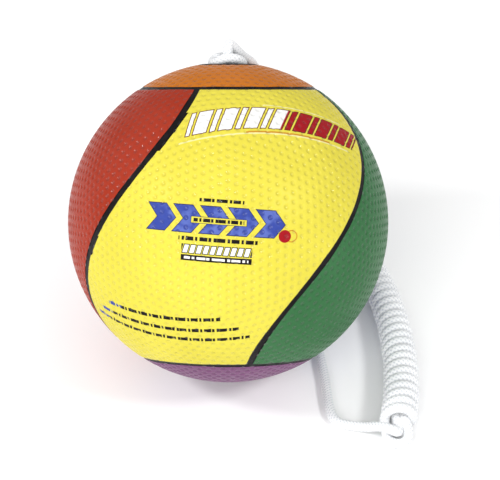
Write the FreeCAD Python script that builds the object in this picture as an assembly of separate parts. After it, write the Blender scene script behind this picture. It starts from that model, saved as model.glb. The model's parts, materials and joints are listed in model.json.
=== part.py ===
"""Tetherball: a six-panel rubber ball with a recessed tether bar, and its rope wound into a hank.

Millimetres, +Z up. The origin is the point where the ball rests on the ground. The ball lies with
its pole axis tilted back towards +Y, tether pole up, and the rope lies round its +X side.
"""
import FreeCAD, Part
import math
import os
from FreeCAD import Placement, Rotation, Vector

os.makedirs("parts", exist_ok=True)

# ---- driving dimensions: the ball -----------------------------------------------------------------
BALL_DIAMETER = 228.6
BALL_R = BALL_DIAMETER / 2
POLE_TILT = 36.6            # degrees from vertical, tether pole leaning towards +Y

COVER_T = 4.0               # cellular rubber panels
CARCASS_T = 1.6             # moulded rubber body
WINDING_T = 0.8             # wound nylon thread
BLADDER_T = 1.0             # butyl bladder
COVER_R = BALL_R - COVER_T
CARCASS_R = COVER_R - CARCASS_T
WINDING_R = CARCASS_R - WINDING_T
BLADDER_R = WINDING_R - BLADDER_T

CAP_ANGLE = 33.2            # degrees from the pole to the middle of a cap's seam
CAP_LATITUDE = 90 - CAP_ANGLE
CAP_SEAM_W = 2.6
SIDE_SEAM_W = 3.4
SEAM_SINK = 0.4             # the seam strips lie this much below the panels
SEAM_SWING = 31.1           # degrees that a side seam swings each way on its way between the caps
# Longitude of each side seam at the equator, from the front (-Y) towards +X. The front panel is wide.
FRONT_LEFT_SEAM = -50.6
FRONT_RIGHT_SEAM = 44.4
SIDE_STEP = (360 - (FRONT_RIGHT_SEAM - FRONT_LEFT_SEAM)) / 3
SIDE_SEAMS = [FRONT_LEFT_SEAM, FRONT_RIGHT_SEAM, FRONT_RIGHT_SEAM + SIDE_STEP, FRONT_RIGHT_SEAM + 2 * SIDE_STEP]
SIDE_PANELS = ["panel_yellow", "panel_green", "panel_blue", "panel_red"]
SEAM_SECTIONS = 15          # sections of the tool that cuts a side seam

# ---- driving dimensions: tether cup and valve -----------------------------------------------------
CUP_R = 21.5                # the cup's lip and upper wall
CUP_LOWER_R = 18.5
CUP_STEP_DEPTH = 11.0       # where the wall gets narrower
CUP_DEPTH = 18.0
CUP_FLOOR_T = 2.5
CUP_INNER_R = 15.0          # at the cup's floor
CUP_MOUTH_R = 17.2          # where the flare begins
CUP_FLARE_R = 19.3          # at the ball's surface
CUP_FLARE_DEPTH = 2.5
CUP_FLANGE_R = 28.0         # bonded flange under the cover
BAR_DEPTH = 7.0             # bar's axis below the ball's surface
BAR_D = 5.0
BAR_LENGTH = 38.0

VALVE_R = 8.0
VALVE_FLANGE_R = 15.0
VALVE_LENGTH = 15.5
VALVE_SINK = 0.8            # the valve's face lies this much below the ball's surface
PLUG_R = 4.0
PLUG_LENGTH = 12.0
NEEDLE_R = 1.1              # port for the inflating needle

# ---- driving dimensions: rope ---------------------------------------------------------------------
ROPE_D = 7.2
ROPE_R = ROPE_D / 2
BAR_GAP = 0.1               # between the bar and the rope's bight
KNOT_BASE = 0.6             # knot's underside above the ball's surface
KNOT_TOP = 8.4
KNOT_HALF_X = 12.6
KNOT_HALF_Y = 9.2
KNOT_SHIFT_X = -1.6
KNOT_PEAK = 12.8            # centre of the rope at the top of the knot
KNOT_EDGE_X = 12.0          # the knot's leg is cut here, clear of the fixed rope beyond it
KNOT_LEG_END = (13.0, 5.0, 4.0)

# The rope's line from the knot, down the ball's back, along the ground and into the hank.
ROPE_ROUTE = [
    (16.2, 77.3, 202.5), (16.8, 83.4, 196.4), (18.3, 91.6, 187.3), (21.0, 101.6, 172.3),
    (28.0, 109.8, 152.0), (36.5, 113.5, 128.0), (44.0, 115.2, 100.0), (51.0, 115.3, 68.0),
    (57.5, 112.0, 37.0), (61.0, 105.0, 14.5), (63.2, 90.0, 4.2), (65.6, 66.0, 3.6),
    (68.6, 31.0, 3.6), (67.0, -7.0, 3.6), (69.2, -38.0, 3.6), (70.3, -60.0, 3.6),
    (73.6, -79.0, 3.6), (82.4, -91.2, 3.6), (95.5, -96.8, 3.7), (102.8, -100.8, 6.9),
    (109.0, -104.8, 11.8),
]
ARC_SHARE = 0.45            # of the shorter run, taken by each arc

HANK_BEND_R = 350.0         # the hank's line is this arc in plan
HANK_BEND_X = 126.0
HANK_BEND_Y = -40.0
HANK_NEAR_Y = -101.0
HANK_FAR_Y = 74.0
HANK_NEAR_R = 13.6
HANK_FAR_R = 11.8
HANK_SECTIONS = 9
EYE_BEND_R = 6.2            # centreline of the rope's fold at each end
NEAR_EYE_LEG = 8.1
NEAR_EYE_DROOP = 35.6       # degrees that the near eye slopes down to the ground
NEAR_EYE_TURN = 14.0        # degrees that the near eye turns towards +X off the hank's line
FAR_EYE_LEG = 5.0
FAR_EYE_DROOP = 12.0
FAR_EYE_TURN = 0.0

ORIGIN = Vector(0, 0, 0)
UP = Vector(0, 0, 1)
BALL_PLACE = Placement(Vector(0, 0, BALL_R), Rotation(Vector(1, 0, 0), -POLE_TILT))


def save(shape, node):
    """Writes one node's STEP file and says what it holds."""
    if not shape.isValid():
        print("NOT VALID:", node)
    shape.exportStep("parts/" + node + ".step")
    box = shape.BoundBox
    corners = (box.XMin, box.YMin, box.ZMin, box.XMax, box.YMax, box.ZMax)
    print(f"{node:16s} solids {len(shape.Solids)} volume {shape.Volume:10.1f} box", [round(v, 1) for v in corners])


def save_on_ball(shape, node):
    """The ball's pieces are modelled with the tether pole along +Z, then tilted into place."""
    placed = shape.copy()
    placed.Placement = BALL_PLACE
    save(placed.Solids[0] if len(placed.Solids) == 1 else placed, node)


# ---- the ball, pole along +Z, its centre at the origin ---------------------------------------------
def shell(inner_r, outer_r):
    return Part.makeSphere(outer_r).cut(Part.makeSphere(inner_r))


def pole_cone(angle, side=1):
    """A cone from the ball's centre, past its surface, round the pole on that side."""
    height = BALL_R * 1.2
    return Part.makeCone(0, height * math.tan(math.radians(angle)), height, ORIGIN, UP * side)


def post(radius, z_low, z_high):
    return Part.makeCylinder(radius, z_high - z_low, Vector(0, 0, z_low), UP)


def on_ball(longitude, latitude):
    """Unit vector; longitude 0 is the front (-Y) and grows towards +X."""
    lon, lat = math.radians(longitude), math.radians(latitude)
    return Vector(math.sin(lon) * math.cos(lat), -math.cos(lon) * math.cos(lat), math.sin(lat))


def seam_point(seam_longitude, latitude):
    """A side seam is an S: it runs straight across the equator and turns along the pole axis at the caps."""
    share = latitude / CAP_LATITUDE
    swing = SEAM_SWING * (3 * share - share ** 3) / 2
    return on_ball(seam_longitude + swing, latitude)


def seam_tool(seam_longitude):
    """A radial wall as wide as the seam, along the whole S, through the cover."""
    sections = []
    low_r, high_r = COVER_R - 2, BALL_R + 2
    reach = CAP_LATITUDE + 2.5
    for i in range(SEAM_SECTIONS):
        latitude = -reach + 2 * reach * i / (SEAM_SECTIONS - 1)
        here = seam_point(seam_longitude, latitude)
        ahead = seam_point(seam_longitude, latitude + 0.01)
        aside = here.cross(ahead - here).normalize() * (SIDE_SEAM_W / 2 / BALL_R)
        left, right = (here + aside).normalize(), (here - aside).normalize()
        corners = [left * low_r, left * high_r, right * high_r, right * low_r, left * low_r]
        sections.append(Part.makePolygon(corners))
    return Part.makeLoft(sections, True, False)


def longitude_of(shape):
    centre = shape.CenterOfMass
    return math.degrees(math.atan2(centre.x, -centre.y))


def angle_between(a, b):
    return abs((a - b + 180) % 360 - 180)


def cover():
    """Two caps, four side panels, and the black strips that show in the seams between them."""
    half_cap_seam = math.degrees(CAP_SEAM_W / 2 / BALL_R)
    cap_cone, ring_cone = CAP_ANGLE - half_cap_seam, CAP_ANGLE + half_cap_seam
    full = shell(COVER_R, BALL_R)
    tools = [seam_tool(longitude) for longitude in SIDE_SEAMS]

    cap_top = full.common(pole_cone(cap_cone)).cut(post(CUP_R, 0, BALL_R + 5))
    cap_bottom = full.common(pole_cone(cap_cone, -1)).cut(post(VALVE_R, -BALL_R - 5, 0))
    save_on_ball(cap_top, "panel_orange")
    save_on_ball(cap_bottom, "panel_purple")

    belt = full.cut([pole_cone(ring_cone), pole_cone(ring_cone, -1)])
    sides = belt.cut(tools).Solids
    ends = SIDE_SEAMS[1:] + [SIDE_SEAMS[0] + 360]
    for node, left, right in zip(SIDE_PANELS, SIDE_SEAMS, ends):
        middle = (left + right) / 2
        save_on_ball(min(sides, key=lambda s: angle_between(longitude_of(s), middle)), node)

    sunk = shell(COVER_R, BALL_R - SEAM_SINK)
    rings = [sunk.common(pole_cone(ring_cone, side)).cut(pole_cone(cap_cone, side)) for side in (1, -1)]
    sunk_belt = sunk.cut([pole_cone(ring_cone), pole_cone(ring_cone, -1)])
    strips = [sunk_belt.common(tool) for tool in tools]
    save_on_ball(rings[0].fuse(rings[1:] + strips).removeSplitter(), "seam_strips")


def under_layers():
    """Bonded layers under the cover; the cup and the valve pass through them."""
    cup_hole = post(CUP_R, 0, BALL_R)
    valve_hole = post(VALVE_R, -BALL_R, 0)
    flange_hole = post(CUP_FLANGE_R, 0, BALL_R)
    valve_flange_hole = post(VALVE_FLANGE_R, -BALL_R, 0)
    save_on_ball(shell(CARCASS_R, COVER_R).cut([flange_hole, valve_flange_hole]), "carcass")
    save_on_ball(shell(WINDING_R, CARCASS_R).cut([cup_hole, valve_hole]), "nylon_winding")
    save_on_ball(shell(BLADDER_R, WINDING_R).cut([cup_hole, valve_hole]), "bladder")


def tether_cup():
    """Rubber cup with a bonded flange; the steel bar is moulded across it."""
    floor_z = BALL_R - CUP_DEPTH
    step_z = BALL_R - CUP_STEP_DEPTH
    flare_z = BALL_R - CUP_FLARE_DEPTH
    wall = post(CUP_LOWER_R, floor_z - CUP_FLOOR_T, step_z).fuse(post(CUP_R, step_z, BALL_R + 5))
    wall = wall.common(Part.makeSphere(BALL_R))
    flange = shell(CARCASS_R, COVER_R).common(post(CUP_FLANGE_R, 0, BALL_R))
    hollow = Part.makeCone(CUP_INNER_R, CUP_MOUTH_R, flare_z - floor_z, Vector(0, 0, floor_z), UP)
    flare = Part.makeCone(CUP_MOUTH_R, CUP_FLARE_R, CUP_FLARE_DEPTH, Vector(0, 0, flare_z), UP)
    bar_z = BALL_R - BAR_DEPTH
    bar = Part.makeCylinder(BAR_D / 2, BAR_LENGTH, Vector(-BAR_LENGTH / 2, 0, bar_z), Vector(1, 0, 0))
    save_on_ball(wall.fuse(flange).cut([hollow, flare, bar]).removeSplitter(), "tether_cup")
    save_on_ball(bar, "tether_bar")


def valve():
    """Valve body bonded into the bladder, and the soft plug that the needle goes through."""
    face_z = -(BALL_R - VALVE_SINK)
    inner_z = face_z + VALVE_LENGTH
    body = post(VALVE_R, face_z, inner_z)
    flange = shell(CARCASS_R, COVER_R).common(post(VALVE_FLANGE_R, -BALL_R, 0))
    plug = post(PLUG_R, face_z, face_z + PLUG_LENGTH)
    air_way = post(NEEDLE_R * 2, face_z + PLUG_LENGTH, inner_z)
    save_on_ball(body.fuse(flange).cut([plug, air_way]).removeSplitter(), "valve_housing")
    save_on_ball(plug.cut(post(NEEDLE_R, face_z, face_z + PLUG_LENGTH)), "valve_plug")


def tether_loop():
    """The rope's bight under the bar, with its two legs up to the knot."""
    bend_r = BAR_D / 2 + BAR_GAP + ROPE_R
    bar_z = BALL_R - BAR_DEPTH
    across = Vector(1, 0, 0)
    bight = Part.makeTorus(bend_r, ROPE_R, Vector(0, 0, bar_z), across)
    bight = bight.common(Part.makeBox(40, 80, 40, Vector(-20, -40, bar_z - 40)))
    legs = [
        Part.makeCylinder(ROPE_R, BAR_DEPTH + KNOT_BASE, Vector(0, side * bend_r, bar_z), UP) for side in (1, -1)
    ]
    save_on_ball(bight.fuse(legs).removeSplitter(), "tether_loop")


def rod(start, end, radius):
    line = end - start
    return Part.makeCylinder(radius, line.Length, start, line)


def tether_knot():
    """Plain outer shape of the knot: a flattened lump, with the rope standing up out of it and off to +X."""
    middle_z = BALL_R + (KNOT_BASE + KNOT_TOP) / 2
    half_z = KNOT_TOP - (KNOT_BASE + KNOT_TOP) / 2
    squash = FreeCAD.Matrix()
    squash.scale(KNOT_HALF_X, KNOT_HALF_Y, half_z * 1.25)
    lump = Part.makeSphere(1.0).transformGeometry(squash)
    lump.translate(Vector(KNOT_SHIFT_X, 0, middle_z))
    peak = Vector(0, 0, BALL_R + KNOT_PEAK)
    leg_x, leg_y, leg_s = KNOT_LEG_END
    leg_end = Vector(leg_x, leg_y, BALL_R + leg_s)
    stem = rod(Vector(0, 0, middle_z), peak, ROPE_R)
    leg = rod(peak, leg_end, ROPE_R)
    knot = lump.fuse([stem, leg, Part.makeSphere(ROPE_R, peak)])
    keep = Part.makeBox(40 + KNOT_EDGE_X, 60, 40, Vector(-40, -30, BALL_R + KNOT_BASE))
    save_on_ball(knot.common(keep).removeSplitter(), "tether_knot")


# ---- the rope on the ground ------------------------------------------------------------------------
def rounded_path(points):
    """Straight runs joined by tangent arcs; prints each arc's radius and the path's length."""
    spots = [Vector(*p) for p in points]
    edges, radii, at = [], [], spots[0]
    for before, corner, after in zip(spots, spots[1:], spots[2:]):
        back, ahead = before - corner, after - corner
        half_turn = (math.pi - back.getAngle(ahead)) / 2
        cut = ARC_SHARE * min(back.Length, ahead.Length)
        radius = cut / math.tan(half_turn)
        back.normalize()
        ahead.normalize()
        start, end = corner + back * cut, corner + ahead * cut
        inward = (back + ahead).normalize()
        middle = corner + inward * (radius / math.cos(half_turn) - radius)
        edges.append(Part.LineSegment(at, start).toShape())
        edges.append(Part.Arc(start, middle, end).toShape())
        radii.append(round(radius, 1))
        at = end
    edges.append(Part.LineSegment(at, spots[-1]).toShape())
    wire = Part.Wire(edges)
    print("rope radii", radii, "length", round(wire.Length, 1))
    return wire


def tube(path, start, heading, radius):
    ring = Part.Wire([Part.Circle(start, heading, radius).toShape()])
    return Part.Wire(path).makePipeShell([ring], True, False)


def rope_run():
    path = rounded_path(ROPE_ROUTE)
    start, second = Vector(*ROPE_ROUTE[0]), Vector(*ROPE_ROUTE[1])
    run = tube(path, start, second - start, ROPE_R)
    print("rope volume over section x length", round(run.Volume / (math.pi * ROPE_R ** 2 * path.Length), 4))
    save(run, "rope_run")


def hank_frame(y):
    """Centre, direction and outer radius of the hank where its line crosses that y."""
    share = (y - HANK_NEAR_Y) / (HANK_FAR_Y - HANK_NEAR_Y)
    radius = HANK_NEAR_R + (HANK_FAR_R - HANK_NEAR_R) * share
    offset = y - HANK_BEND_Y
    x = HANK_BEND_X - HANK_BEND_R + math.sqrt(HANK_BEND_R ** 2 - offset ** 2)
    heading = Vector(-offset / HANK_BEND_R, 1, 0).normalize()
    return Vector(x, y, radius), heading, radius


def rope_hank():
    """Outer shape of the tightly wrapped hank, lying on the ground."""
    rings = []
    for i in range(HANK_SECTIONS):
        y = HANK_NEAR_Y + (HANK_FAR_Y - HANK_NEAR_Y) * i / (HANK_SECTIONS - 1)
        centre, heading, radius = hank_frame(y)
        rings.append(Part.Wire([Part.Circle(centre, heading, radius).toShape()]))
    save(Part.makeLoft(rings, True, False), "rope_hank")


def hank_loop(node, y, way, leg, droop, turn):
    """The rope's fold that stands out of one end of the hank; way is +1 at the far end and -1 at the near."""
    centre, heading, _ = hank_frame(y)
    out = Rotation(UP, turn).multVec(heading * way)
    aside = Vector(-out.y, out.x, 0)
    slope = math.radians(droop)
    out = out * math.cos(slope) - UP * math.sin(slope)
    a0, b0 = centre + aside * EYE_BEND_R, centre - aside * EYE_BEND_R
    a1, b1 = a0 + out * leg, b0 + out * leg
    tip = centre + out * (leg + EYE_BEND_R)
    path = Part.Wire([
        Part.LineSegment(a0, a1).toShape(), Part.Arc(a1, tip, b1).toShape(), Part.LineSegment(b1, b0).toShape(),
    ])
    save(tube(path, a0, out, ROPE_R), node)


cover()
under_layers()
tether_cup()
valve()
tether_loop()
tether_knot()
rope_run()
rope_hank()
hank_loop("hank_eye", HANK_NEAR_Y, -1, NEAR_EYE_LEG, NEAR_EYE_DROOP, NEAR_EYE_TURN)
hank_loop("hank_far_loop", HANK_FAR_Y, 1, FAR_EYE_LEG, FAR_EYE_DROOP, FAR_EYE_TURN)
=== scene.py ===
"""Looks of the tetherball: dimpled rubber panels, trimmed seams, and one braided rope knotted and wound up.

Metres, in the frame's own axes. The ball's pieces are made in the ball's frame, with its tether pole
along +Z and its front at -Y, and are then placed where the frame says that the ball lies.
"""
import json
import math

import bpy
import numpy as np
from mathutils import Matrix, Vector


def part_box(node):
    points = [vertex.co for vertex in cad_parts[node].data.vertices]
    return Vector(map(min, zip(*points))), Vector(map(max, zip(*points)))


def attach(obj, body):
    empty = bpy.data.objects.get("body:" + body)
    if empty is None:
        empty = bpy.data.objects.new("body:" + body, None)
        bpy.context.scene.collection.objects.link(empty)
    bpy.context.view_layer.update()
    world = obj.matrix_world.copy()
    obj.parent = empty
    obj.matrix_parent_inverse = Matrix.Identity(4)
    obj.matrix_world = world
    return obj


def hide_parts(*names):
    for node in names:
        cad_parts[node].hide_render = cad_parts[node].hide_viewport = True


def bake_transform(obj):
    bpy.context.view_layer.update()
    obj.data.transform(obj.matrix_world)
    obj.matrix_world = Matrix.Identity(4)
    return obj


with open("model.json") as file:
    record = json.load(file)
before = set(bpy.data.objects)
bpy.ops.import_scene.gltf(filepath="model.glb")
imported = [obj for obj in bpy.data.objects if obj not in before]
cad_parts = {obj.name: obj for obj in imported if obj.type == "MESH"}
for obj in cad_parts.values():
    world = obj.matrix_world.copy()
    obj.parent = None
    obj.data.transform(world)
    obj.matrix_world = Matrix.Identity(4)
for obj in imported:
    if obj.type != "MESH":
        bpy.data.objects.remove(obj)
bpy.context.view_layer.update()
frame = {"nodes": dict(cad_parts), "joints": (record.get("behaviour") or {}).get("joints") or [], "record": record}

MM = 0.001
UP = Vector((0, 0, 1))

# ---- the ball, as the frame gives it ---------------------------------------------------------------
needle_port = next(m for m in frame["record"]["mounts"] if m["name"] == "needle_port")
tether_swing = frame["joints"][0]
POLE = -Vector(needle_port["axis"]).normalized()
ACROSS = Vector(tether_swing["axis"])
BACK = POLE.cross(ACROSS)
BALL_R = round(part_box("panel_yellow")[1].z / 2, 4)
CENTRE = Vector((0, 0, BALL_R))
TO_FRAME = np.array([ACROSS, BACK, POLE])

COVER_T = 4.0 * MM
CAP_ANGLE = 33.2            # degrees, from a pole to the middle of its cap's seam
CAP_LATITUDE = 90 - CAP_ANGLE
CAP_SEAM_W = 2.6 * MM
SIDE_SEAM_W = 3.4 * MM
SEAM_SWING = 31.1           # degrees that a side seam swings each way between the caps
SEAM_REACH = 1.15           # its curve goes on to this many times the caps' latitude
FRONT_LEFT_SEAM = -50.6
FRONT_RIGHT_SEAM = 44.4
SIDE_STEP = (360 - (FRONT_RIGHT_SEAM - FRONT_LEFT_SEAM)) / 3
CUP_R = 21.5 * MM
VALVE_R = 8.0 * MM

# ---- dimples ---------------------------------------------------------------------------------------
DIMPLE_FREQUENCY = 22       # dimples along each edge of the icosahedron that they are laid out on
DIMPLE_CELL = 6             # mesh edges from one dimple's centre to the next
RIM_R = 1.95 * MM
INNER_RING = 0.54           # of the rim's radius
DIMPLE_DEPTH = 0.6 * MM
EDGE_PLAIN = (0.4 * MM, 1.6 * MM)  # dimples fade in between these distances from a panel's edge
EDGE_ROUND = 1.5 * MM       # width of a panel's rounded edge
EDGE_DROP = 0.42 * MM
WOBBLE = 0.16 * MM          # hand-trimmed panel edges wander this much
SNAP = 0.36 * MM            # a mesh point this near a cut moves onto it
SHARP_ANGLE = 50            # degrees between faces, from which their edge is shaded sharp
CHART_SPAN = 0.36           # metres of ball surface across a panel chart's 0 to 1


def icosahedron():
    """Corners and faces, with one edge upright at the front (-Y)."""
    golden = (1 + 5 ** 0.5) / 2
    corners = []
    for short in (-1, 1):
        for long in (-golden, golden):
            corners += [(0, -long, short), (short, 0, long), (long, -short, 0)]
    corners = np.array(corners)
    faces = []
    for i in range(12):
        for j in range(i + 1, 12):
            for k in range(j + 1, 12):
                a, b, c = corners[[i, j, k]]
                longest = max(np.linalg.norm(a - b), np.linalg.norm(b - c), np.linalg.norm(c - a))
                if longest < 2.1:  # an edge is 2 long here
                    outward = np.dot(np.cross(b - a, c - a), a) > 0
                    faces.append((i, j, k) if outward else (i, k, j))
    return corners / np.linalg.norm(corners[0]), faces


def unit(points):
    return points / np.linalg.norm(points, axis=-1, keepdims=True)


def cell_centres(steps, cell):
    """The dimple that each lattice point is nearest to, in the same three lattice coordinates."""
    share = steps / cell
    near = np.round(share)
    error = np.abs(near - share)
    worst = error.argmax(axis=1)
    rows = np.arange(len(steps))
    others = near.sum(axis=1) - near[rows, worst]
    near[rows, worst] = share.sum(axis=1).round() - others
    return near * cell


def dimpled_sphere(frequency, cell):
    """Unit points, each one's distance from its dimple's centre in metres, and triangles."""
    corners, faces = icosahedron()
    edge_angle = math.acos(1 / 5 ** 0.5)
    n = frequency * cell
    i, j = np.array([(a, b) for a in range(n + 1) for b in range(n + 1 - a)]).T
    steps = np.stack([i, j, n - i - j], axis=1)
    number = np.full((n + 2, n + 2), -1)
    number[i, j] = np.arange(len(i))
    low = i + j < n
    up = np.stack([number[i, j], number[i + 1, j], number[i, j + 1]], axis=1)[low]
    lower = i + j < n - 1
    down = np.stack([number[i + 1, j], number[i + 1, j + 1], number[i, j + 1]], axis=1)[lower]
    face_triangles = np.concatenate([up, down])

    centres = cell_centres(steps, cell)
    ring = np.abs(steps - centres).max(axis=1)
    points, plain, reach, triangles = [], [], [], []
    for face in faces:
        here = unit(np.sin(steps / n * edge_angle) @ corners[list(face)])
        middle = unit(np.sin(centres / n * edge_angle) @ corners[list(face)])
        away = here - middle
        distance = np.linalg.norm(away, axis=1) * BALL_R
        wanted = np.select([ring == 0, ring == 1, ring == 2], [0, RIM_R * INNER_RING, RIM_R], distance)
        scale = np.where(distance > 0, wanted / np.maximum(distance, 1e-9), 1)
        triangles.append(face_triangles + len(here) * len(points))
        points.append(unit(middle + away * scale[:, None]))
        plain.append(here)
        reach.append(wanted)
    plain = np.round(np.concatenate(plain) * 1e6)
    _, first, same = np.unique(plain, axis=0, return_index=True, return_inverse=True)
    triangles = same.ravel()[np.concatenate(triangles)]
    return np.concatenate(points)[first], np.concatenate(reach)[first], triangles


# ---- cutting panels out of the sphere ----------------------------------------------------------------
def longitude_latitude(points):
    points = unit(points)
    longitude = np.degrees(np.arctan2(points[:, 0], -points[:, 1]))
    return longitude, np.degrees(np.arcsin(np.clip(points[:, 2], -1, 1)))


def wander(points, seed):
    """A smooth, uneven value from about -1 to 1 over the ball, for trimmed edges, new with each seed."""
    turns = np.array([[31, 17, -23], [-13, 41, 19], [53, -29, 37]])
    waves = np.sin(points @ turns.T + seed * np.array([1.7, 2.9, 4.3]))
    return waves @ np.array([0.5, 0.35, 0.3])


def from_side_seam(points, seam_longitude):
    """Distance to the right of a side seam's middle, measured square to it."""
    longitude, latitude = longitude_latitude(points)
    share = np.clip(latitude / CAP_LATITUDE, -SEAM_REACH, SEAM_REACH)
    along = (longitude - seam_longitude - SEAM_SWING * (3 * share - share ** 3) / 2 + 180) % 360 - 180
    slope = SEAM_SWING * 1.5 * (1 - share ** 2) / CAP_LATITUDE
    flat = np.cos(np.radians(latitude))
    return np.radians(along) * flat * BALL_R / np.sqrt(1 + (flat * slope) ** 2)


def above_cap_seam(points, pole):
    """Distance from the middle of a cap's seam towards that pole, +1 or -1."""
    return np.radians(longitude_latitude(points)[1] * pole - CAP_LATITUDE) * BALL_R


def cap_region(pole, hole_r):
    """A cap's outer edge and its hole, each as a distance inside it."""
    return [
        lambda p: above_cap_seam(p, pole) - CAP_SEAM_W / 2 + WOBBLE * wander(p, 5 + pole),
        lambda p: np.hypot(p[:, 0], p[:, 1]) * BALL_R - hole_r,
    ]


def side_region(left, right):
    """A side panel's four edges, each as a distance inside it, between the seams at two longitudes."""
    return [
        lambda p: from_side_seam(p, left) - SIDE_SEAM_W / 2 + WOBBLE * wander(p, left),
        lambda p: -from_side_seam(p, right) - SIDE_SEAM_W / 2 + WOBBLE * wander(p, right + 7),
        lambda p: -above_cap_seam(p, 1) - CAP_SEAM_W / 2 + WOBBLE * wander(p, 11),
        lambda p: -above_cap_seam(p, -1) - CAP_SEAM_W / 2 + WOBBLE * wander(p, 13),
    ]


def slide_onto(points, inside):
    """Moves points square to the line where inside() is zero, onto it."""
    step = 1e-4
    value = inside(points)
    slope = np.stack([(inside(points + step * axis) - value) / step for axis in np.eye(3)], axis=1)
    return unit(points - slope * (value / (slope ** 2).sum(axis=1))[:, None])


def trim(points, reach, triangles, inside):
    """The part of the mesh where inside() is positive, with clean new edges along its zero line."""
    points = points.copy()
    value = inside(points)
    near = np.abs(value) < SNAP
    points[near] = slide_onto(points[near], inside)
    value[near] = 0
    corners = value[triangles]
    whole = (corners >= 0).all(axis=1) & (corners > 0).any(axis=1)
    crossed = (corners > 0).any(axis=1) & (corners < 0).any(axis=1)
    made, new_points, new_reach, new_triangles = {}, [], [], []

    def crossing(a, b):
        key = (min(a, b), max(a, b))
        if key not in made:
            share = value[a] / (value[a] - value[b])
            made[key] = len(points) + len(new_points)
            new_points.append(points[a] + (points[b] - points[a]) * share)
            new_reach.append(reach[a] + (reach[b] - reach[a]) * share)
        return made[key]

    for triangle in triangles[crossed].tolist():
        outline = []
        for a, b in zip(triangle, triangle[1:] + triangle[:1]):
            if value[a] >= 0:
                outline.append(a)
            if value[a] * value[b] < 0:
                outline.append(crossing(a, b))
        for k in range(1, len(outline) - 1):
            new_triangles.append((outline[0], outline[k], outline[k + 1]))
    if new_points:
        points = np.concatenate([points, unit(np.array(new_points))])
        reach = np.concatenate([reach, new_reach])
    triangles = np.concatenate([triangles[whole], np.array(new_triangles, int).reshape(-1, 3)])
    used, triangles = np.unique(triangles, return_inverse=True)
    return points[used], reach[used], triangles.reshape(-1, 3)


def rim_edges(triangles):
    """Edges with a triangle on one side only, in that triangle's direction."""
    edges = np.concatenate([triangles[:, [0, 1]], triangles[:, [1, 2]], triangles[:, [2, 0]]])
    size = triangles.max() + 1
    code, reverse = edges[:, 0] * size + edges[:, 1], edges[:, 1] * size + edges[:, 0]
    return edges[~np.isin(code, reverse)]


def store(mesh, facts):
    """Keeps named values on a mesh's points, for its material to read."""
    for name, values in facts.items():
        layer = mesh.attributes.new(name, "FLOAT", "POINT")
        layer.data.foreach_set("value", values.astype(np.float32).ravel())


def show(name, mesh, material):
    """A piece of one material, in the scene."""
    piece = bpy.data.objects.new(name, mesh)
    bpy.context.scene.collection.objects.link(piece)
    mesh.materials.append(material)
    return piece


def solid_shell(name, points, outer_r, triangles, chart_centre, facts):
    """A closed mesh: the outer surface, the same surface a cover's thickness down, and walls at its edges."""
    count = len(points)
    places = np.concatenate([points * outer_r[:, None], points * (BALL_R - COVER_T)])
    a, b = rim_edges(triangles).T
    upper_walls = np.stack([b, a, a + count], axis=1)
    lower_walls = np.stack([b, a + count, b + count], axis=1)
    faces = np.concatenate([triangles, triangles[:, ::-1] + count, upper_walls, lower_walls])
    mesh = bpy.data.meshes.new(name)
    mesh.from_pydata((places @ TO_FRAME + np.array(CENTRE)).tolist(), [], faces.tolist())
    store(mesh, {fact: np.tile(values, 2) for fact, values in facts.items()})
    flat = np.tile(chart(points, chart_centre), (2, 1))
    layer = mesh.uv_layers.new(name="chart")
    layer.data.foreach_set("uv", flat[faces.ravel()].astype(np.float32).ravel())
    mesh.set_sharp_from_angle(angle=math.radians(SHARP_ANGLE))
    return mesh


def chart(points, centre):
    """Flat coordinates over a piece of the ball: true distance and direction from that centre."""
    centre = np.array(centre)
    right = unit(np.cross([0, 0, 1], centre) if abs(centre[2]) < 0.9 else np.array([1.0, 0, 0]))
    up = np.cross(centre, right)
    angle = np.arccos(np.clip(points @ centre, -1, 1))
    stretch = np.where(angle > 1e-6, angle / np.maximum(np.sin(angle), 1e-9), 1) * BALL_R / CHART_SPAN
    return np.stack([points @ right * stretch + 0.5, points @ up * stretch + 0.5], axis=1)


def on_equator(longitude):
    """The ball's point at that longitude, halfway between its poles."""
    angle = math.radians(longitude)
    return (math.sin(angle), -math.cos(angle), 0.0)


def panel(name, sphere, region, chart_centre, material):
    """One dimpled rubber panel, which stands for the CAD node of the same name."""
    points, reach, triangles = sphere
    for inside in region:
        points, reach, triangles = trim(points, reach, triangles, inside)
    from_edge = np.clip(np.min([inside(points) for inside in region], axis=0), 0, None)
    fade = np.clip((from_edge - EDGE_PLAIN[0]) / (EDGE_PLAIN[1] - EDGE_PLAIN[0]), 0, 1)
    dimple = DIMPLE_DEPTH * np.clip(1 - (reach / RIM_R) ** 2, 0, 1) * fade
    rounding = EDGE_DROP * np.clip(1 - from_edge / EDGE_ROUND, 0, 1) ** 2
    facts = {"from_dimple": reach, "from_edge": from_edge}
    outer_r = BALL_R - dimple - rounding
    mesh = solid_shell(name + "_cover", points, outer_r, triangles, chart_centre, facts)
    piece = show(name + "_cover", mesh, material)
    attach(piece, "ball")
    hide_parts(name)


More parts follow.
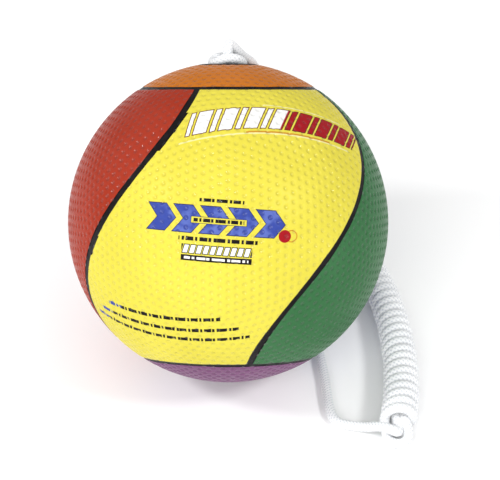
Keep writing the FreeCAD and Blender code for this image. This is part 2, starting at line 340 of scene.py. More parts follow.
# ---- materials ----------------------------------------------------------------------------------------
class Nodes:
    """A material's node tree, with short calls for the nodes used here."""

    def __init__(self, name, color, roughness, **sockets):
        self.material = bpy.data.materials.new(name)
        self.material.use_nodes = True
        self.tree = self.material.node_tree
        self.shader = self.tree.nodes["Principled BSDF"]
        self.shade("Base Color", (*color, 1))
        self.shade("Roughness", roughness)
        for socket, value in sockets.items():
            self.shade(socket.replace("_", " "), value)

    def set(self, node, socket, value):
        target = node.inputs[socket]
        if isinstance(value, bpy.types.NodeSocket):
            self.tree.links.new(value, target)
        else:
            target.default_value = value

    def shade(self, socket, value):
        self.set(self.shader, socket, value)

    def add(self, kind, output=0, settings=None, **sockets):
        node = self.tree.nodes.new(kind)
        for key, value in (settings or {}).items():
            setattr(node, key, value)
        for socket, value in sockets.items():
            self.set(node, socket.replace("_", " "), value)
        return node.outputs[output]

    def math(self, operation, *values, clamp=False):
        node = self.tree.nodes.new("ShaderNodeMath")
        node.operation = operation
        node.use_clamp = clamp
        for index, value in enumerate(values):
            self.set(node, index, value)
        return node.outputs[0]

    def position(self):
        return self.add("ShaderNodeTexCoord", "Object")

    def fact(self, name):
        """A value that the mesh keeps on its points."""
        return self.add("ShaderNodeAttribute", "Fac", {"attribute_name": name})

    def flat_map(self, name):
        """The two coordinates of a UV map."""
        split = self.tree.nodes.new("ShaderNodeSeparateXYZ")
        self.set(split, 0, self.add("ShaderNodeUVMap", 0, {"uv_map": name}))
        return split.outputs[0], split.outputs[1]

    def noise(self, scale, detail=3.0, roughness=0.5, vector=None):
        return self.add(
            "ShaderNodeTexNoise", "Fac", Vector=vector or self.position(), Scale=scale, Detail=detail,
            Roughness=roughness,
        )

    def ramp(self, value, low, high, to_low=0.0, to_high=1.0):
        """Value from low..high, smoothly onto to_low..to_high."""
        node = self.tree.nodes.new("ShaderNodeMapRange")
        node.interpolation_type = "SMOOTHSTEP"
        for index, number in enumerate((value, low, high, to_low, to_high)):
            self.set(node, index, number)
        return node.outputs[0]

    def mix(self, share, a, b, blend="MIX"):
        node = self.tree.nodes.new("ShaderNodeMix")
        node.data_type = "RGBA"
        node.blend_type = blend
        for index, value in ((0, share), (6, a), (7, b)):
            if isinstance(value, tuple):
                value = (*value, 1)
            self.set(node, index, value)
        return node.outputs[2]

    def bump(self, height, distance, strength=1.0):
        normal = self.add("ShaderNodeBump", 0, Height=height, Distance=distance, Strength=strength)
        self.shade("Normal", normal)


# ---- colours and rubber -------------------------------------------------------------------------------
RED = (0.283, 0.025, 0.009)
ORANGE = (0.46, 0.132, 0.007)
YELLOW = (0.585, 0.512, 0.054)
GREEN = (0.031, 0.124, 0.044)
BLUE = (0.016, 0.048, 0.2)
PURPLE = (0.157, 0.055, 0.14)
SEAM_BLACK = (0.0045, 0.0035, 0.0045)

CAP_DIMPLE_PAINTED_SHADE = 0.82     # painted shade in the caps' dimples: their colour as a share of their lands'
LAND_ROUGHNESS = (0.27, 0.39)  # of the rubber between the dimples
HOLLOW_POLISH = 0.62        # a dimple's roughness, as a share of the land's
LAND_SPECULAR = 0.06
HOLLOW_SPECULAR = 0.34
DIMPLE_ROUNDING = 0.25 * MM  # finer bowl shape than the mesh holds
GRAIN_HEIGHT = 0.02 * MM
LAP = (0.2 * MM, 0.85 * MM)  # a seam's black laps between these widths over a panel's edge
LAP_SOFT = 0.12 * MM        # and fades over this distance each way


def rubber(name, color, dimple_painted_shade, print_on=None):
    """Moulded rubber: blotched a little paler, darkened in its dimples by painted shade and glossier there, black
    at its edges.
    """
    nodes = Nodes(name, color, 0.38, Specular_IOR_Level=LAND_SPECULAR)
    from_dimple, from_edge = nodes.fact("from_dimple"), nodes.fact("from_edge")
    pale = tuple(min(1, channel * 1.06 + 0.006) for channel in color)
    surface = nodes.mix(nodes.ramp(nodes.noise(14, 4), 0.38, 0.66), color, pale)
    if print_on:
        surface = print_on(nodes, surface)
    # Painted shade: the colour in each dimple is multiplied down by dimple_painted_shade.
    in_dimple = nodes.ramp(from_dimple, RIM_R * 0.6, RIM_R * 1.15, 1, 0)
    surface = nodes.mix(in_dimple, surface, (dimple_painted_shade,) * 3, "MULTIPLY")
    lap = nodes.ramp(nodes.noise(17, 2), 0.32, 0.68, *LAP)
    inked = nodes.ramp(nodes.math("SUBTRACT", from_edge, lap), -LAP_SOFT, LAP_SOFT, 1, 0)
    nodes.shade("Base Color", nodes.mix(inked, surface, SEAM_BLACK))

    scuffed = nodes.ramp(nodes.noise(160, 4), 0.3, 0.7, *LAND_ROUGHNESS)
    wear = nodes.ramp(from_dimple, RIM_R * 0.5, RIM_R)
    nodes.shade("Roughness", nodes.math("MULTIPLY", scuffed, nodes.ramp(wear, 0, 1, HOLLOW_POLISH, 1)))
    nodes.shade("Specular IOR Level", nodes.ramp(wear, 0, 1, HOLLOW_SPECULAR, LAND_SPECULAR))

    share = nodes.math("DIVIDE", from_dimple, RIM_R)
    bowl = nodes.math("SUBTRACT", 1, nodes.math("MULTIPLY", share, share), clamp=True)
    bowl = nodes.math("MULTIPLY", bowl, nodes.ramp(from_edge, *EDGE_PLAIN))
    grain = nodes.math("MULTIPLY", nodes.noise(1500, 3, 0.6), GRAIN_HEIGHT / MM)
    nodes.bump(nodes.math("MULTIPLY_ADD", bowl, -DIMPLE_ROUNDING / MM, grain), 1 * MM)
    return nodes.material


# ---- print on the yellow panel: generic bars, chevrons and dashes, in millimetres on the panel's chart ---
INK_BLACK = (0.008, 0.006, 0.007)
INK_WHITE = (0.72, 0.72, 0.7)
INK_RED = (0.29, 0.008, 0.013)
INK_MAROON = (0.1, 0.017, 0.01)
INK_BLUE = (0.034, 0.056, 0.27)
INK_PALE_BLUE = (0.095, 0.135, 0.4)
INK_NAVY = (0.01, 0.012, 0.06)
INK_ORANGE = (0.47, 0.22, 0.02)
INK_CREAM = (0.66, 0.62, 0.27)
INK_SOFT = 0.12             # an ink's edge fades over this distance each way

BAND_X = 40.0               # middle of the arched band
BAND_Y = 75.0               # its lower edge there
BAND_R = 280.0
BAND_HEIGHT = 18.0
BAND_ENDS = (-66, 70)       # along the arch, from its middle
BAND_SLANT = 0.42           # lean of the bars, along the arch for each millimetre up
BAR_PITCH = 18.6            # of the wide bars, with a thin one between each two
WIDE_BAR = 9.6
THIN_BAR = 3.4
WHITE_TO_RED = (3, 4)       # along the arch
# Lines beside the band: up from its lower edge, from and to, then along it, from and to.
BAND_LINES = (
    (-4.4, -2.6, -22, 46, INK_ORANGE),
    (-5.1, -3.9, -72, 66, INK_CREAM),
    (20.6, 21.6, -8, 58, INK_CREAM),
)

BADGE_TILT = 4.0            # degrees that the badge leans down to the right
CHEVRON_PITCH = 18.6
CHEVRON_WIDTH = 13.0
CHEVRON_FIRST = -36.5       # middle of one of them
CHEVRON_POINT = 0.8         # how far each runs on to the right, for each millimetre nearer its middle
CHEVRON_ROW = (-1.4, 16.6, -45, 47)
# Oblongs on the badge: up from and to, then across from and to.
BADGE_STRIP = (5.2, 9.2, -19, 18)
BADGE_BLOCKS = (-15.2, -9.9, -24, 22.5)
BADGE_FOOT = (-20.6, -16.6, -24.7, 23.2)
BLOCK_PITCH = 4.6
BLOCK_WIDTH = 3.0
BLOCK_SLANT = 0.25
# Rows of dashes on the badge: an oblong, the dashes' pitch in it, and their ink.
BADGE_ROWS = (
    (6.0, 8.4, -17.5, 16.5, 2.7, INK_BLACK),
    (19.6, 21.9, -15.4, 15.6, 2.9, INK_BLACK),
    (-6.9, -4.2, -27, 26.8, 3.1, INK_BLACK),
    (-19.4, -17.8, -22.5, 21, 3.4, INK_WHITE),
)
# Discs at the badge's right end: across, up, radius.
DISCS = ((49.4, -3.2, 4.3, INK_ORANGE), (49.4, -3.2, 3.5, YELLOW), (44.6, -3.2, 4.4, INK_RED))

SMALL_PRINT_X = -33         # where the lines of small print hang lowest
SMALL_PRINT_SAG = 0.0012
SMALL_PRINT_HEIGHT = 2.9
SMALL_PRINT_PITCH = 3.0
SMALL_PRINT_BLUE = (12, 14)  # its blue start turns black between these distances
SMALL_PRINT_ROWS = ((-65.6, -92, 0), (-75.1, -104, 13), (-83.9, -111, 21))  # lower edge, left and right end

SPLICES = ((57, 88, 2.2), (-22, -6, 1.8))  # up the panel from and to, and the lap there


class Artwork:
    """Inks laid over a colour. A shape is its distance inside its own outline, negative outside it."""

    def __init__(self, nodes, surface):
        self.nodes = nodes
        self.math = nodes.math
        self.color = surface
        span = CHART_SPAN / MM
        across, up = nodes.flat_map("chart")
        self.x = self.math("MULTIPLY_ADD", across, span, -span / 2)
        self.y = self.math("MULTIPLY_ADD", up, span, -span / 2)

    def within(self, value, low, high):
        away = self.math("ABSOLUTE", self.math("SUBTRACT", value, (low + high) / 2))
        return self.math("SUBTRACT", (high - low) / 2, away)

    def overlap(self, *shapes):
        shape = shapes[0]
        for other in shapes[1:]:
            shape = self.math("MINIMUM", shape, other)
        return shape

    def oblong(self, up, across, low, high, left, right):
        return self.overlap(self.within(up, low, high), self.within(across, left, right))

    def bars(self, value, first, pitch, width):
        """Bars of one width, the first of them centred there."""
        beside = self.math("WRAP", self.math("SUBTRACT", value, first), pitch / 2, -pitch / 2)
        return self.math("SUBTRACT", width / 2, self.math("ABSOLUTE", beside))

    def dashes(self, value, pitch):
        """Dashes of uneven length, like a line of very small print: a fine wave that rides on a slow one."""
        fine = self.math("SINE", self.math("MULTIPLY", value, 2 * math.pi / pitch))
        coarse = self.math("SINE", self.math("MULTIPLY_ADD", value, 2 * math.pi / (pitch * 3.3), 1.0))
        wave = self.math("MULTIPLY_ADD", coarse, 0.8, self.math("ADD", fine, 0.75))
        return self.math("MULTIPLY", wave, pitch * 0.14)

    def disc(self, x, y, radius):
        across, up = self.math("SUBTRACT", self.x, x), self.math("SUBTRACT", self.y, y)
        return self.math("SUBTRACT", radius, self.distance(across, up))

    def distance(self, across, up):
        return self.math("SQRT", self.math("MULTIPLY_ADD", across, across, self.math("MULTIPLY", up, up)))

    def ink(self, shape, color, spread=0.0):
        covered = self.nodes.ramp(shape, -spread - INK_SOFT, -spread + INK_SOFT)
        self.color = self.nodes.mix(covered, self.color, color)


def arched_band(art):
    """Slanted bars along an arch, white on the left and red on the right, between pale lines."""
    across = art.math("SUBTRACT", art.x, BAND_X)
    up = art.math("SUBTRACT", art.y, BAND_Y - BAND_R)
    height = art.math("SUBTRACT", art.distance(across, up), BAND_R)
    along = art.math("MULTIPLY", art.math("ARCTAN2", across, up), BAND_R)
    slanted = art.math("MULTIPLY_ADD", height, -BAND_SLANT, along)
    wide = art.bars(slanted, 0, BAR_PITCH, WIDE_BAR)
    thin = art.bars(slanted, BAR_PITCH / 2, BAR_PITCH, THIN_BAR)
    arch = art.oblong(height, slanted, 0, BAND_HEIGHT, *BAND_ENDS)
    band = art.overlap(art.math("MAXIMUM", wide, thin), arch)
    art.ink(band, INK_MAROON, 0.7)
    art.ink(band, art.nodes.mix(art.nodes.ramp(slanted, *WHITE_TO_RED), INK_WHITE, INK_RED))
    for *oblong, color in BAND_LINES:
        art.ink(art.oblong(height, along, *oblong), color)


def badge(art):
    """A row of blue chevrons with a strip across them, and rows of dashes and blocks above and below."""
    tilt = math.radians(BADGE_TILT)
    across = art.math("MULTIPLY_ADD", art.x, math.cos(tilt), art.math("MULTIPLY", art.y, -math.sin(tilt)))
    up = art.math("MULTIPLY_ADD", art.x, math.sin(tilt), art.math("MULTIPLY", art.y, math.cos(tilt)))
    middle = (CHEVRON_ROW[0] + CHEVRON_ROW[1]) / 2
    off_middle = art.math("ABSOLUTE", art.math("SUBTRACT", up, middle))
    pointed = art.math("MULTIPLY_ADD", off_middle, CHEVRON_POINT, across)
    chevrons = art.overlap(
        art.bars(pointed, CHEVRON_FIRST, CHEVRON_PITCH, CHEVRON_WIDTH), art.oblong(up, pointed, *CHEVRON_ROW)
    )
    # Paler blue on the lands round the dimples, in noise patches.
    patchy = art.math("MULTIPLY", art.nodes.ramp(art.nodes.noise(70, 3), 0.44, 0.6), 0.85)
    on_land = art.nodes.ramp(art.nodes.fact("from_dimple"), RIM_R * 0.8, RIM_R * 1.05)
    art.ink(chevrons, INK_NAVY, 0.55)
    art.ink(chevrons, art.nodes.mix(art.math("MULTIPLY", patchy, on_land), INK_BLUE, INK_PALE_BLUE))

    strip = art.oblong(up, across, *BADGE_STRIP)
    art.ink(strip, INK_NAVY, 0.35)
    art.ink(strip, YELLOW)
    slanted = art.math("MULTIPLY_ADD", up, -BLOCK_SLANT, across)
    blocks = art.overlap(
        art.bars(slanted, 0, BLOCK_PITCH, BLOCK_WIDTH), art.oblong(up, across, *BADGE_BLOCKS)
    )
    art.ink(blocks, INK_BLACK, 0.6)
    art.ink(blocks, INK_WHITE)
    art.ink(art.oblong(up, across, *BADGE_FOOT), INK_BLACK)
    for *oblong, pitch, color in BADGE_ROWS:
        art.ink(art.overlap(art.oblong(up, across, *oblong), art.dashes(across, pitch)), color)
    for *disc, color in DISCS:
        art.ink(art.disc(*disc), color)


def small_print(art):
    """Three sagging lines of dark dashes, blue at their left ends."""
    off_middle = art.math("SUBTRACT", art.x, SMALL_PRINT_X)
    sag = art.math("MULTIPLY", art.math("MULTIPLY", off_middle, off_middle), SMALL_PRINT_SAG)
    level = art.math("SUBTRACT", art.y, sag)
    dashes = art.dashes(art.x, SMALL_PRINT_PITCH)
    for low, left, right in SMALL_PRINT_ROWS:
        blue_end = (left + distance for distance in SMALL_PRINT_BLUE)
        tone = art.nodes.mix(art.nodes.ramp(art.x, *blue_end), INK_BLUE, INK_BLACK)
        row = art.oblong(level, art.x, low, low + SMALL_PRINT_HEIGHT, left, right)
        art.ink(art.overlap(row, dashes), tone)


def seam_splices(art):
    """Two stretches of the left seam where its black strip laps further over the yellow."""
    from_edge = art.math("DIVIDE", art.nodes.fact("from_edge"), MM)
    left_half = art.math("MULTIPLY", art.x, -1)
    for low, high, lap in SPLICES:
        lapped = art.math("SUBTRACT", lap, from_edge)
        art.ink(art.overlap(art.within(art.y, low, high), lapped, left_half), SEAM_BLACK)


def yellow_print(nodes, surface):
    """All that is printed on the yellow panel."""
    art = Artwork(nodes, surface)
    arched_band(art)
    badge(art)
    small_print(art)
    seam_splices(art)
    return art.color


# ---- the other materials --------------------------------------------------------------------------------
ROPE_WHITE = (0.88, 0.89, 0.9)
ROPE_PALE = (0.94, 0.945, 0.95)
# painted shade for the valleys between the braid's yarns
ROPE_VALLEY_PAINTED_SHADE = (0.58, 0.61, 0.65)
ROPE_SEALED = (0.62, 0.6, 0.55)
YARN_FIBRES = 36.0          # fine slanting fibres, counted round the rope
CUP_BLACK = (0.014, 0.014, 0.015)
VALVE_GREY = (0.05, 0.05, 0.052)
BUTYL_BLACK = (0.015, 0.015, 0.015)


def braided_rope():
    """White braid: soft sheen, yarns slanting one way and the other, and painted shade greying it down between
    them.
    """
    nodes = Nodes("rope_braid", ROPE_WHITE, 0.65, Sheen_Weight=0.05, Specular_IOR_Level=0.3)
    tone = nodes.mix(nodes.ramp(nodes.noise(60, 3), 0.35, 0.7), ROPE_WHITE, ROPE_PALE)
    # Painted shade: grey towards the valleys between the yarns' crowns.
    yarns = nodes.mix(nodes.ramp(nodes.fact("crown"), -0.9, 0.25), ROPE_VALLEY_PAINTED_SHADE, tone)
    sealed = nodes.fact("sealed")
    nodes.shade("Base Color", nodes.mix(sealed, yarns, ROPE_SEALED))
    nodes.shade("Roughness", nodes.ramp(sealed, 0, 1, 0.6, 0.3))
    around, along = nodes.flat_map("braid")
    lean = nodes.math("MULTIPLY", around, YARN_FIBRES)
    fibres = []
    for way in (1, -1):
        slant = nodes.math("MULTIPLY_ADD", along, way * YARN_FIBRES, lean)
        fibres.append(nodes.math("SINE", nodes.math("MULTIPLY", slant, 2 * math.pi)))
    nodes.bump(nodes.math("MULTIPLY", nodes.math("ADD", *fibres), 0.5), 0.12 * MM, 0.7)
    return nodes.material


def black_rubber(name, color, roughness, grain_scale):
    """Dull dark rubber with a little dust on it."""
    nodes = Nodes(name, color, roughness, Specular_IOR_Level=0.1)
    dusty = tuple(channel * 1.9 + 0.003 for channel in color)
    nodes.shade("Base Color", nodes.mix(nodes.ramp(nodes.noise(90, 5), 0.45, 0.8), color, dusty))
    patchy = nodes.ramp(nodes.noise(240, 3), 0.3, 0.7, roughness - 0.08, roughness + 0.1)
    nodes.shade("Roughness", patchy)
    nodes.bump(nodes.noise(grain_scale, 4, 0.6), 0.25 * MM, 0.6)
    return nodes.material


def brushed_steel():
    """Steel with marks along the bar."""
    nodes = Nodes("steel_bar", (0.62, 0.62, 0.64), 0.3, Metallic=1.0)
    stretched = nodes.add("ShaderNodeMapping", 0, Vector=nodes.position(), Scale=(8, 400, 400))
    marks = nodes.noise(6, 4, 0.6, stretched)
    tone = nodes.mix(nodes.ramp(marks, 0.3, 0.75), (0.5, 0.5, 0.52), (0.7, 0.7, 0.71))
    nodes.shade("Base Color", tone)
    nodes.shade("Roughness", nodes.ramp(marks, 0.3, 0.7, 0.2, 0.42))
    nodes.bump(marks, 0.05 * MM, 0.5)
    return nodes.material


def wound_thread():
    """Cream thread in close, wavering lines."""
    nodes = Nodes("wound_thread", (0.7, 0.66, 0.55), 0.7)
    lines = nodes.add(
        "ShaderNodeTexWave", "Fac", Vector=nodes.position(), Scale=260.0, Distortion=6.0, Detail=2.0
    )
    nodes.shade("Base Color", nodes.mix(lines, (0.5, 0.46, 0.36), (0.76, 0.72, 0.62)))
    nodes.bump(lines, 0.3 * MM, 0.8)
    return nodes.material


# ---- rope ---------------------------------------------------------------------------------------------
ROPE_D = 7.2 * MM
ROPE_R = ROPE_D / 2
RING_POINTS = 24
BRAID_CELLS = 6             # pairs of crossing yarns round the rope
BRAID_PICK = 2.6 * MM       # length of one yarn crossing
RING_STEP = BRAID_PICK / 4
BRAID_RELIEF = 0.15 * MM
SEALED_END = 2.4 * MM       # melted ends are rounded over this length

# From the knot, down the ball's back, along the ground and into the hank, in millimetres.
ROPE_ROUTE = [
    (12.4, 82.5, 199.2), (15.4, 86.0, 194.5), (18.3, 91.6, 187.3), (21.0, 101.6, 172.3),
    (28.0, 109.8, 152.0), (36.5, 113.5, 128.0), (44.0, 115.2, 100.0), (51.0, 115.3, 68.0),
    (57.5, 112.0, 37.0), (61.0, 105.0, 14.5), (63.2, 90.0, 4.2), (65.6, 66.0, 3.6),
    (68.6, 31.0, 3.6), (67.0, -7.0, 3.6), (69.8, -38.0, 3.6), (71.8, -60.0, 3.6),
    (72.8, -77.5, 3.6), (77.0, -91.4, 3.6), (88.0, -94.6, 3.6), (98.5, -97.2, 4.8),
    (107.2, -101.6, 10.4),
]
# The tail, the wrap in front of the knot, the bight under the bar, and up to the peak. Each point is
# across, back and out from where the pole meets the ball's surface, in millimetres.
KNOT_ROUTE = [
    (9.6, 4.8, -2.2), (10.4, 1.6, -1.0), (9.2, -3.6, 0.6), (5.6, -8.0, 2.1), (0.8, -9.8, 2.7),
    (-4.0, -9.2, 1.8), (-7.8, -6.8, -0.6), (-11.0, -2.4, -0.6), (-10.9, 2.2, 1.0), (-6.4, 5.6, 3.7),
    (-2.2, 7.4, 3.5), (-0.6, 7.2, -1.6), (0.0, 6.5, -7.6), (0.0, 5.6, -12.6), (0.0, 0.0, -14.6),
    (0.0, -5.6, -12.6), (0.0, -6.5, -8.0), (0.0, -5.2, -3.6), (0.0, -1.8, 1.4), (-0.4, -0.6, 7.6),
    (0.4, 1.2, 13.6), (4.6, 5.6, 10.2), (8.6, 10.8, 6.0),
]

HANK_BEND_R = 350.0         # the hank lies along an arc of this radius
HANK_BEND_X = 126.0         # furthest right that the arc gets
HANK_BEND_Y = -40.0         # and where it does
HANK_NEAR_Y = -101.0
HANK_FAR_Y = 74.0
HANK_NEAR_R = 13.6
HANK_FAR_R = 11.8
NEAR_EYE_TURN = 14.0        # degrees that the near eye turns off the hank's line
TURN_POINTS = 12
# A quadratic spline runs inside a ring of control points: this brings its turns out to their radius.
TURN_REACH = 1 / (0.75 + 0.25 * math.cos(2 * math.pi / TURN_POINTS))
WRAP_START_Y = -98.5
WRAP_END_Y = 71.0
WRAP_INSET = 0.12           # the wraps' middle radius is this much less than the hank's allows
WRAP_UNEVEN = 0.1           # and wanders by about this, in and out
NEAR_PITCH = 7.9
FAR_PITCH = 7.45
PITCH_UNEVEN = 0.12         # share of the pitch
CORE_OFFSET = 2.9           # the two strands inside the hank, each way from its line
CORE_STEP = 15.0
CORE_INSET = 8.0            # those strands start and end this far inside the hank's ends

# In millimetres of the frame, from the ground up and into the near eye.
HANK_LEAD_IN = [(114.6, -106.6, 13.0), (120.2, -108.2, 10.4), (121.4, -103.4, 9.0), (120.2, -98.0, 12.0)]
# Each of the next points is aside from the hank's line, forward past its far or near end, and its height.
FAR_LOOP = [
    (-5.6, 1, 11.4), (-7.0, 6, 10.2), (-5.0, 11.2, 8.6), (0, 13.2, 7.6), (5.0, 11.2, 8.0), (7.0, 6, 9.4),
    (5.6, 1, 11.0),
]
NEAR_EYE = [
    (5.2, 2, 13.0), (6.6, -2.4, 11.2), (6.9, -7.2, 8.2), (5.0, -11.2, 5.8), (0.4, -12.8, 4.7),
    (-4.4, -11.2, 4.1), (-6.8, -7.2, 3.8), (-7.6, -3.0, 4.2), (-9.2, -0.2, 7.6),
]
TAIL_START = (1.5, 4.5)
TAIL_RISE = 6.2             # height of the tail's first point above the middle of the last wrap
TAIL = [(0, 9, 16.2), (-1, 15, 13.0), (-2, 22, 9.6), (-2, 28, 7.2)]


def by_knot(across, back, out):
    """A point by the tether pole, in millimetres, as a point of the frame in metres."""
    return CENTRE + (ACROSS * across + BACK * back + POLE * out) * MM + POLE * BALL_R


def hank_share(y):
    """From 0 at the hank's near end to 1 at its far end."""
    return (y - HANK_NEAR_Y) / (HANK_FAR_Y - HANK_NEAR_Y)


def hank_radius(y):
    """The hank's outer radius, which is also the height of its middle."""
    return HANK_NEAR_R + (HANK_FAR_R - HANK_NEAR_R) * hank_share(y)


def hank_frame(y):
    """Middle of the hank, its direction, and the direction to its right, in millimetres."""
    offset = y - HANK_BEND_Y
    x = HANK_BEND_X - HANK_BEND_R + math.sqrt(HANK_BEND_R ** 2 - offset ** 2)
    heading = Vector((-offset / HANK_BEND_R, 1, 0)).normalized()
    return Vector((x, y, hank_radius(y))), heading, Vector((heading.y, -heading.x, 0))


def in_hank(y, aside, forward, height, turn=0.0):
    """A point beside the hank's line: aside to the right, forward along it past y, at that height."""
    middle, heading, right = hank_frame(y)
    place = middle + Matrix.Rotation(math.radians(turn), 3, "Z") @ (right * aside + heading * forward)
    return Vector((place.x, place.y, height))


def core_strand(y_from, y_to, aside):
    """Points of one strand that runs inside the hank."""
    count = round(abs(y_to - y_from) / CORE_STEP)
    points = []
    for i in range(count + 1):
        y = y_from + (y_to - y_from) * i / count
        points.append(in_hank(y, aside, 0, hank_radius(y)))
    return points


def wrap_turns():
    """The turns from the near end to the far end, over the top from left to right, a little uneven."""
    points, turn, y = [], 0.0, WRAP_START_Y
    while y < WRAP_END_Y:
        angle = 2 * math.pi * turn
        uneven = math.sin(turn * 2.3) + 0.6 * math.sin(turn * 5.1 + 1)
        middle, _, right = hank_frame(y)
        radius = (hank_radius(y) - ROPE_R / MM - WRAP_INSET + WRAP_UNEVEN * uneven) * TURN_REACH
        points.append(middle - right * math.cos(angle) * radius + UP * math.sin(angle) * radius)
        pitch = NEAR_PITCH + (FAR_PITCH - NEAR_PITCH) * hank_share(y)
        turn += 1 / TURN_POINTS
        y += pitch / TURN_POINTS * (1 + PITCH_UNEVEN * math.sin(turn * 3.7))
    return points


def hank_route():
    """The lead turns into the hank, goes to its far loop and back to the near eye, and wraps it all."""
    near, far = HANK_NEAR_Y, HANK_FAR_Y
    lead_in = [Vector(spot) for spot in HANK_LEAD_IN]
    out = core_strand(near + CORE_INSET, far - CORE_INSET, -CORE_OFFSET)
    far_loop = [in_hank(far, *spot) for spot in FAR_LOOP]
    back = core_strand(far - CORE_INSET, near + CORE_INSET, CORE_OFFSET)
    near_eye = [in_hank(near, *spot, NEAR_EYE_TURN) for spot in NEAR_EYE]
    tail = [in_hank(far, *TAIL_START, hank_radius(WRAP_END_Y) + TAIL_RISE)]
    tail += [in_hank(far, *spot) for spot in TAIL]
    return lead_in + out + far_loop + back + near_eye + wrap_turns() + tail


def rope_line():
    """The rope's whole line, read from one NURBS spline through its route."""
    route = [by_knot(*spot) for spot in KNOT_ROUTE]
    route += [Vector(spot) * MM for spot in ROPE_ROUTE]
    route += [spot * MM for spot in hank_route()]
    curve = bpy.data.curves.new("rope_line", "CURVE")
    curve.dimensions = "3D"
    curve.resolution_u = 10
    spline = curve.splines.new("NURBS")
    spline.points.add(len(route) - 1)
    for point, spot in zip(spline.points, route):
        point.co = (*spot, 1)
    spline.order_u = 3
    spline.use_endpoint_u = True
    holder = bpy.data.objects.new("rope_line", curve)
    mesh = bpy.data.meshes.new_from_object(holder)
    line = np.array([v.co for v in mesh.vertices])
    bpy.data.meshes.remove(mesh)
    bpy.data.curves.remove(curve)
    return line


def even_steps(line, step):
    """The line with its points at even distances, and each point's distance along it."""
    along = np.concatenate([[0], np.cumsum(np.linalg.norm(np.diff(line, axis=0), axis=1))])
    at = np.linspace(0, along[-1], round(along[-1] / step) + 1)
    return np.stack([np.interp(at, along, line[:, axis]) for axis in range(3)], axis=1), at


def untwisted_frames(line):
    """Two directions square to the line at each of its points, turning as little as they can."""
    ahead = unit(np.gradient(line, axis=0))
    side = unit(np.cross(ahead[0], [0.3, 0.5, 1.0]))
    sides = []
    for tangent in ahead:
        side = side - tangent * np.dot(side, tangent)
        side = side / np.linalg.norm(side)
        sides.append(side)
    sides = np.array(sides)
    return sides, np.cross(ahead, sides)


def rope_mesh(line, along):
    """A tube with a small bump at each yarn crossing, and its two ends rounded and sealed."""
    sides, ups = untwisted_frames(line)
    angle = 2 * math.pi * (np.arange(RING_POINTS) / RING_POINTS)
    crown = np.cos(2 * math.pi * along / BRAID_PICK)[:, None] * np.cos(angle * BRAID_CELLS)[None, :]
    to_end = np.minimum(along, along[-1] - along)
    taper = np.sqrt(np.clip(1 - (1 - np.clip(to_end / SEALED_END, 0, 1)) ** 2, 0.02, 1))[:, None]
    radius = (ROPE_R - BRAID_RELIEF * 0.5 + BRAID_RELIEF * crown * (taper >= 1)) * taper
    around = np.cos(angle)[None, :, None] * sides[:, None, :] + np.sin(angle)[None, :, None] * ups[:, None, :]
    places = line[:, None, :] + around * radius[:, :, None]

    count = len(line)
    ring = np.arange(count - 1)[:, None] * RING_POINTS
    here = np.arange(RING_POINTS)[None, :]
    after = (here + 1) % RING_POINTS
    corners = [ring + here, ring + after, ring + after + RING_POINTS, ring + here + RING_POINTS]
    quads = np.stack(corners, axis=2).reshape(-1, 4)
    first_cap = list(range(RING_POINTS))[::-1]
    last_cap = list(range((count - 1) * RING_POINTS, count * RING_POINTS))
    mesh = bpy.data.meshes.new("rope")
    mesh.from_pydata(places.reshape(-1, 3).tolist(), [], quads.tolist() + [first_cap, last_cap])

    lay = np.zeros((len(mesh.loops), 2), np.float32)
    turn = (here.T + np.array([0, 1, 1, 0])) / RING_POINTS
    lay[: quads.size, 0] = np.tile(turn, (count - 1, 1)).ravel()
    lay[: quads.size, 1] = np.repeat(along / (2 * math.pi * ROPE_R), RING_POINTS)[quads.ravel()]
    mesh.uv_layers.new(name="braid").data.foreach_set("uv", lay.ravel())
    sealed = np.repeat(np.clip(1.6 - to_end / SEALED_END, 0, 1), RING_POINTS)
    store(mesh, {"crown": crown, "sealed": sealed})
    mesh.polygons.foreach_set("use_smooth", np.ones(len(mesh.polygons), bool))
    return mesh


def rope(material):
    """The whole rope, from its tail by the knot to the end that sticks out of the hank."""
    line, along = even_steps(rope_line(), RING_STEP)
    piece = show("rope", rope_mesh(line, along), material)
    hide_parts("tether_loop", "tether_knot", "rope_run", "rope_hank", "hank_eye", "hank_far_loop")
    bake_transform(piece)
    print("rope length", round(float(along[-1]), 3))


# ---- stage ----------------------------------------------------------------------------------------------
CAMERA_ELEVATION = 40.0
CAMERA_DISTANCE = 1.5
CAMERA_LENS = 150.9
CAMERA_SHIFT_X = 0.0437
CAMERA_SHIFT_Y = -0.0358

# Soft lights: direction from the ball, distance and diameter in metres, and power in watts.
LIGHTS = {
    "left_light": ((-0.71, -0.26, 0.66), 1.7, 0.3, 11),
    "right_light": ((0.63, -0.40, 0.67), 1.7, 0.36, 11),
    "front_light": ((-0.3, -0.82, 0.48), 2.5, 1.5, 31),
}
WORLD_STRENGTH = 0.67
FLOOR_HALF = 6.0
FLOOR_WHITE = (0.97, 0.97, 0.97)


def camera():
    data = bpy.data.cameras.new("camera")
    data.lens = CAMERA_LENS
    data.shift_x = CAMERA_SHIFT_X
    data.shift_y = CAMERA_SHIFT_Y
    eye = bpy.data.objects.new("camera", data)
    slope = math.radians(CAMERA_ELEVATION)
    eye.location = CENTRE + Vector((0, -math.cos(slope), math.sin(slope))) * CAMERA_DISTANCE
    eye.rotation_euler = (math.pi / 2 - slope, 0, 0)
    bpy.context.scene.collection.objects.link(eye)
    bpy.context.scene.camera = eye


def softbox(name, toward, distance, size, power):
    """A round soft light, aimed at the ball's centre."""
    data = bpy.data.lights.new(name, "AREA")
    data.shape = "DISK"
    data.size = size
    data.energy = power
    light = bpy.data.objects.new(name, data)
    way = Vector(toward).normalized()
    light.location = CENTRE + way * distance
    light.rotation_euler = way.to_track_quat("Z", "Y").to_euler()
    bpy.context.scene.collection.objects.link(light)


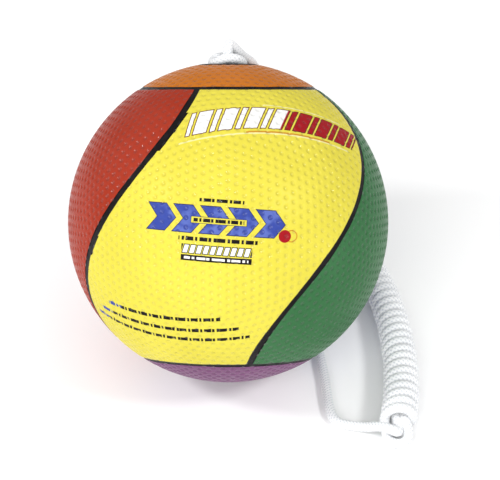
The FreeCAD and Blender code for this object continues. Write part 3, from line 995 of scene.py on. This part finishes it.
def stage():
    """White world, soft lights, and a pale floor that the part stands on."""
    world = bpy.data.worlds.new("studio")
    world.use_nodes = True
    background = world.node_tree.nodes["Background"]
    background.inputs["Color"].default_value = (1, 1, 1, 1)
    background.inputs["Strength"].default_value = WORLD_STRENGTH
    bpy.context.scene.world = world
    bpy.context.scene.view_settings.view_transform = "Standard"
    for name, light in LIGHTS.items():
        softbox(name, *light)
    mesh = bpy.data.meshes.new("floor")
    corners = [(x * FLOOR_HALF, y * FLOOR_HALF, 0) for x, y in ((-1, -1), (1, -1), (1, 1), (-1, 1))]
    mesh.from_pydata(corners, [], [(0, 1, 2, 3)])
    floor = show("floor", mesh, Nodes("floor", FLOOR_WHITE, 0.9, Specular_IOR_Level=0.0).material)


# ---- the model ------------------------------------------------------------------------------------------
def cover():
    """The six panels: four round the sides, and one at each pole."""
    sphere = dimpled_sphere(DIMPLE_FREQUENCY, DIMPLE_CELL)
    seams = [FRONT_LEFT_SEAM] + [FRONT_RIGHT_SEAM + SIDE_STEP * i for i in range(4)]
    # Name, colour, the share of it left in the dimples under painted shade, and print.
    sides = [
        ("yellow", YELLOW, 0.94, yellow_print), ("green", GREEN, 0.82, None), ("blue", BLUE, 0.84, None),
        ("red", RED, 0.88, None),
    ]
    for (name, color, dimple_painted_shade, print_on), left, right in zip(sides, seams, seams[1:]):
        material = rubber("rubber_" + name, color, dimple_painted_shade, print_on)
        facing = on_equator((left + right) / 2)
        panel("panel_" + name, sphere, side_region(left, right), facing, material)
    for name, color, pole, hole_r in (("orange", ORANGE, 1, CUP_R), ("purple", PURPLE, -1, VALVE_R)):
        material = rubber("rubber_" + name, color, CAP_DIMPLE_PAINTED_SHADE)
        panel("panel_" + name, sphere, cap_region(pole, hole_r), (0, 0, pole), material)


def carried_over():
    """The CAD nodes that stay get their materials."""
    looks = {
        black_rubber("seam_rubber", SEAM_BLACK, 0.42, 900): ["seam_strips"],
        black_rubber("cup_rubber", CUP_BLACK, 0.55, 700): ["carcass", "tether_cup", "valve_housing"],
        black_rubber("valve_rubber", VALVE_GREY, 0.5, 800): ["valve_plug"],
        black_rubber("butyl", BUTYL_BLACK, 0.5, 500): ["bladder"],
        wound_thread(): ["nylon_winding"],
        brushed_steel(): ["tether_bar"],
    }
    for material, nodes in looks.items():
        for node in nodes:
            data = frame["nodes"][node].data
            data.materials.clear()
            data.materials.append(material)


camera()
stage()
rope(braided_rope())
cover()
carried_over()
